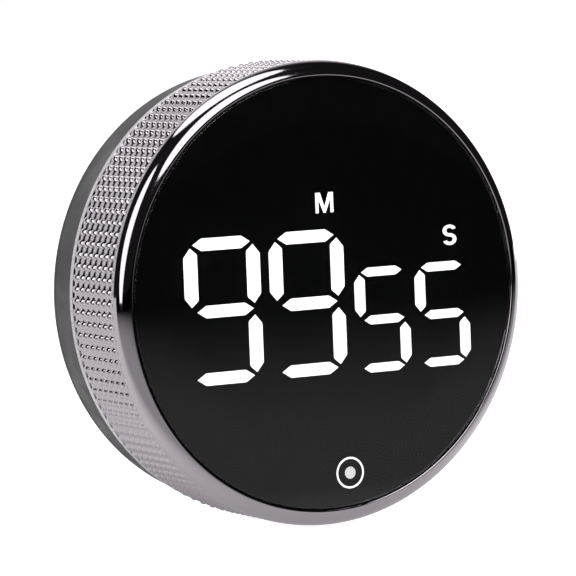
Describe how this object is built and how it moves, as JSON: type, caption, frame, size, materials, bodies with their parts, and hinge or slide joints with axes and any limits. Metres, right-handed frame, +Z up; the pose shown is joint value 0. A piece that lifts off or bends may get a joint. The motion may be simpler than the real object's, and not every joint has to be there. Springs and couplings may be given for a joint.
{
  "type": "round magnetic countdown timer",
  "caption": "Round magnetic digital countdown timer with a knurled metal twist ring, press-in display window and flat magnetic back.",
  "frame": {"origin": "centre of the flat magnetic back face", "axes": "+Y out of the back face along the timer's axis, +Z up as the display is read, +X to the right of someone reading the display"},
  "size_m": [0.078, 0.029, 0.078],
  "materials": {
    "ring_plating": "glossy mauve-grey metallic plating",
    "black_plastic": "fine satin",
    "housing_black": "fine spark-eroded texture",
    "white_plastic": "satin",
    "clear_lens": "polished clear acrylic",
    "black_print": "opaque black print behind the lens",
    "diffuser_white": "frosted film",
    "lit_segment": "white, lit from behind",
    "smoked_window": "smoked, unlit",
    "bright_steel": "bright nickel plate",
    "led_chip": "moulded white with yellow phosphor",
    "board_green": "solder resist",
    "chip_black": "moulded epoxy",
    "capacitor_sleeve": "shrink sleeve",
    "dark_screw": "black zinc",
    "magnet_nickel": "nickel plated, fine scratches",
    "cell_sleeve": "printed sleeve, plain",
    "lead_red": "insulation",
    "lead_black": "insulation",
    "lead_grey": "insulation"
  },
  "bodies": {
    "housing": {"glide_ring": "white_plastic", "lens_hinge_pin": "bright_steel", "display_frame": "black_plastic", "led_reflector": "white_plastic", "segment_leds": "led_chip", "main_board": "board_green", "controller_chip": "chip_black", "crystal_can": "bright_steel", "power_capacitor": "capacitor_sleeve", "driver_transistors": "chip_black", "buzzer": "chip_black", "tact_switch": "bright_steel", "encoder_body": "chip_black", "board_screws": "bright_steel", "base_housing": "housing_black", "case_screws": "dark_screw", "back_magnets": "magnet_nickel", "battery_cell_1": "cell_sleeve", "battery_cell_2": "cell_sleeve", "battery_cell_3": "cell_sleeve", "battery_springs": "bright_steel", "contact_plates": "bright_steel", "switch_board": "board_green", "slide_switch": "bright_steel", "positive_lead": "lead_red", "negative_lead": "lead_black", "switch_leads": "lead_grey"},
    "knob": {"knob_shell": "ring_plating", "gear_ring": "black_plastic"},
    "lens_panel": {"front_lens": "clear_lens", "lens_mask": "black_print", "diffuser_sheet": "diffuser_white", "lens_carrier": "black_plastic", "minute_tens_segments": "lit_segment", "minute_units_segments": "lit_segment", "second_tens_segments": "lit_segment", "second_units_segments": "lit_segment", "unlit_segments": "smoked_window", "unit_marks": "lit_segment", "button_icon": "lit_segment"},
    "tact_button": {"tact_plunger": "black_plastic"},
    "encoder_gear": {"encoder_pinion": "white_plastic"},
    "volume_switch": {"volume_slider": "black_plastic"},
    "battery_cover": {"battery_door": "housing_black"}
  },
  "joints": [
    {"name": "knob_spin", "type": "hinge", "parent": "housing", "child": "knob", "pos_m": [0, -0.012, 0], "axis": [0, 1, 0], "continuous": true},
    {"name": "encoder_spin", "type": "hinge", "parent": "housing", "child": "encoder_gear", "pos_m": [0.0288, -0.0155, 0], "axis": [0, 1, 0], "continuous": true},
    {"name": "lens_press", "type": "hinge", "parent": "housing", "child": "lens_panel", "pos_m": [0, -0.02595, 0.034], "axis": [1, 0, 0], "range_deg": [0, 0.3], "stiffness_Nm_per_rad": 4, "springref_deg": -0.23},
    {"name": "tact_press", "type": "slide", "parent": "housing", "child": "tact_button", "axis": [0, 1, 0], "range_m": [0, 0.0003]},
    {"name": "volume_slide", "type": "slide", "parent": "housing", "child": "volume_switch", "axis": [1, 0, 0], "range_m": [-0.002, 0.002]},
    {"name": "battery_door_swing", "type": "hinge", "parent": "housing", "child": "battery_cover", "pos_m": [0, -0.0009, 0.0261], "axis": [1, 0, 0], "range_deg": [0, 90]}
  ],
  "couplings": [
    {"joint": "encoder_spin", "follows": "knob_spin", "ratio": 7},
    {"joint": "tact_press", "follows": "lens_press", "m_per_rad": 0.052}
  ]
}
